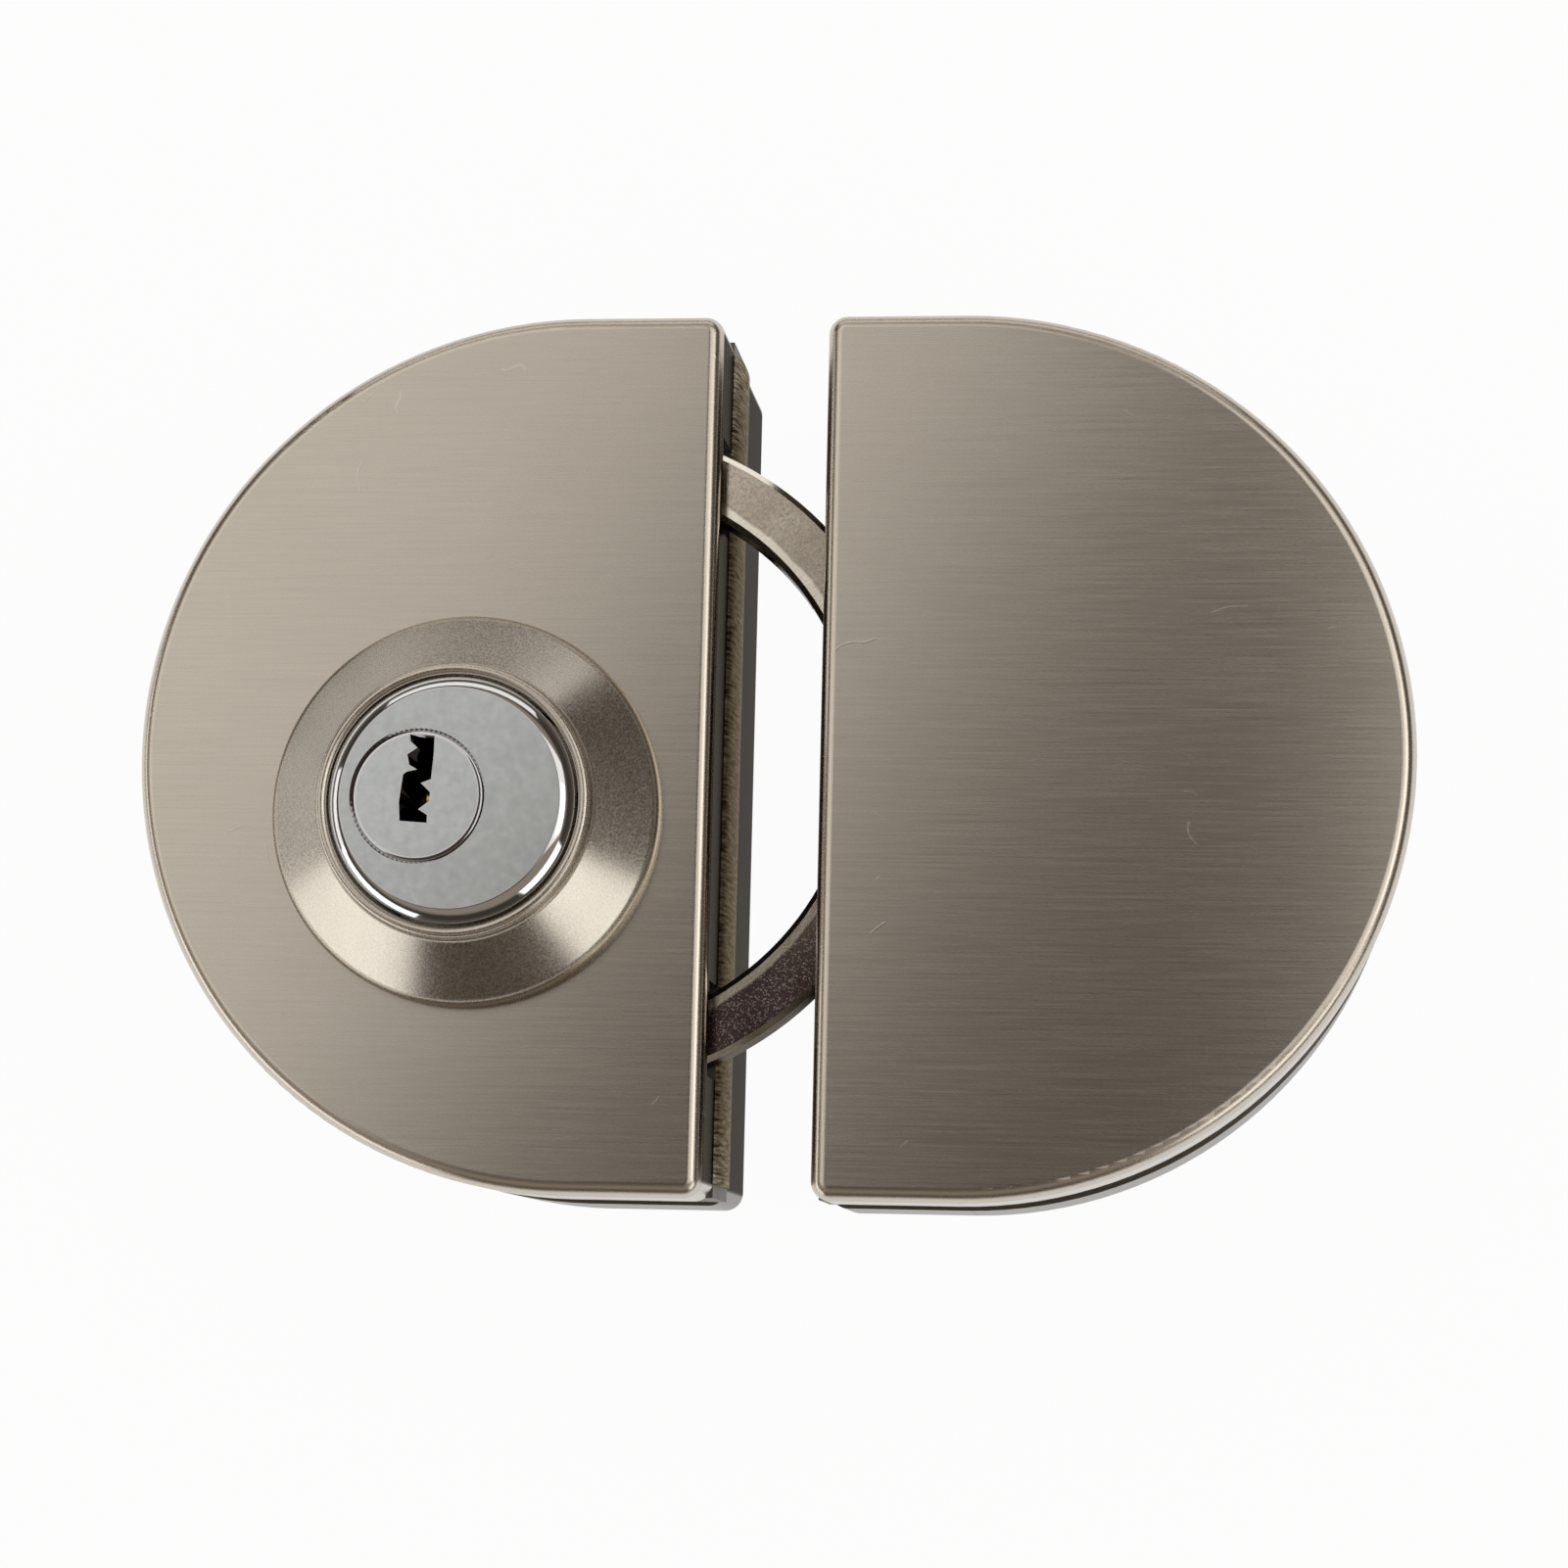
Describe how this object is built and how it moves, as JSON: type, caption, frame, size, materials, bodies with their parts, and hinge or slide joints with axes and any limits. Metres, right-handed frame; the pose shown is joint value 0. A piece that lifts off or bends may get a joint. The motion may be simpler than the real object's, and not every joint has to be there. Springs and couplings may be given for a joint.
{
  "type": "glass cabinet door lock",
  "caption": "Clamp-on lock for a pair of frameless glass doors: half-round lock and strike housings, an off-centre key cylinder and a geared C-shaped bolt that turns across the gap.",
  "frame": {"origin": "midway between the two straight sides, in the plane of the back faces", "axes": "+X from the lock half to the strike half, +Y up the leaves' edge, +Z from the back faces to the keyed front"},
  "size_m": [0.1364, 0.095, 0.0476],
  "materials": {
    "cover_front": "satin nickel, fine horizontal hairlines",
    "cover_back": "satin nickel, fine horizontal hairlines",
    "escutcheon": "turned, satin nickel plated",
    "cylinder": "bright edge, satin face",
    "plug": "satin nickel plated",
    "brass_pins": "plain brass",
    "bolt": "nickel plated, slightly rough",
    "casting": "rough die casting, grey",
    "steel": "plain steel",
    "pad": "matt black"
  },
  "bodies": {
    "lock_half": {"lock_front_cover": "cover_front", "lock_back_cover": "cover_back", "escutcheon": "escutcheon", "cylinder_body": "cylinder", "driver_pins": "brass_pins", "chamber_plugs": "brass_pins", "pin_springs": "steel", "idler_pin": "steel", "cylinder_screws": "steel", "bolt_plate": "steel", "bolt_plate_screws": "steel", "lock_case": "casting", "lock_back_body": "casting", "lock_clamp_screws": "steel", "lock_back_screws": "steel", "lock_cover_screws": "steel", "lock_front_pad": "pad", "lock_back_pad": "pad"},
    "key_plug": {"cylinder_plug": "plug", "key_pins": "brass_pins", "plug_clip": "steel", "drive_gear": "steel"},
    "idler": {"idler_gear": "steel"},
    "bolt": {"ring_bolt": "bolt"},
    "strike_half": {"strike_front_cover": "cover_front", "strike_back_cover": "cover_back", "strike_case": "casting", "strike_back_body": "casting", "strike_plate": "steel", "strike_plate_screws": "steel", "strike_clamp_screws": "steel", "strike_back_screws": "steel", "strike_cover_screws": "steel", "strike_front_pad": "pad", "strike_back_pad": "pad"}
  },
  "joints": [
    {"name": "bolt_turn", "type": "hinge", "parent": "lock_half", "child": "bolt", "pos_m": [-0.0207, 0, 0.0306], "axis": [0, 0, 1], "range_deg": [-149.61, 0]},
    {"name": "plug_turn", "type": "hinge", "parent": "lock_half", "child": "key_plug", "pos_m": [-0.0352, -0.00679, 0.0476], "axis": [0, 0, 1], "range_deg": [0, 720]},
    {"name": "idler_turn", "type": "hinge", "parent": "lock_half", "child": "idler", "pos_m": [-0.03524, -0.01959, 0.0291], "axis": [0, 0, 1], "range_deg": [-720, 0]},
    {"name": "strike_play", "type": "slide", "parent": "lock_half", "child": "strike_half", "axis": [1, 0, 0], "range_m": [-0.0005, 0.0005]}
  ],
  "couplings": [
    {"joint": "plug_turn", "follows": "bolt_turn", "ratio": -4.8125},
    {"joint": "idler_turn", "follows": "bolt_turn", "ratio": 4.8125}
  ]
}
